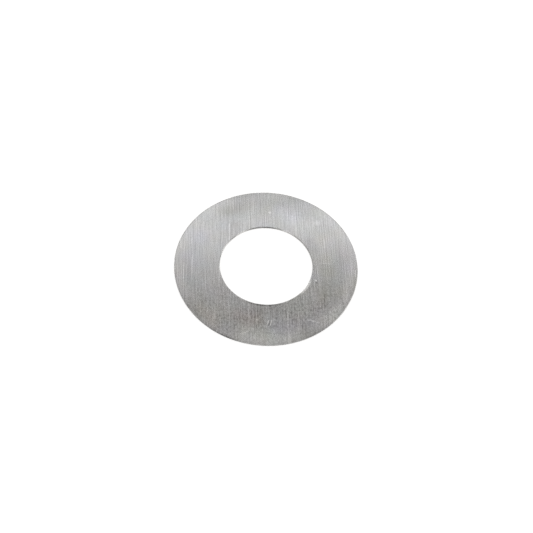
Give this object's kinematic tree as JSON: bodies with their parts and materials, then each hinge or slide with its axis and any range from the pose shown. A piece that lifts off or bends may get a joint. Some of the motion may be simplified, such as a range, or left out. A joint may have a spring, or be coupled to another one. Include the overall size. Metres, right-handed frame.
{
  "type": "shim ring",
  "caption": "Flat thin steel shim ring, a one-piece annulus that takes up axial play between parts on a shaft.",
  "frame": {"origin": "centre of the lower face, on the ring's axis, so the ring rests on z = 0", "axes": "+Z along the bore's axis, out of the face with the rolled-over edges; +Y along the strip's rolling lines"},
  "size_m": [0.012, 0.012, 0.0001],
  "materials": {
    "rolled_steel": "cold-rolled strip, satin, with fine straight rolling lines along Y and tumbled edges"
  },
  "bodies": {
    "root": {"shim_ring": "rolled_steel"}
  },
  "joints": []
}
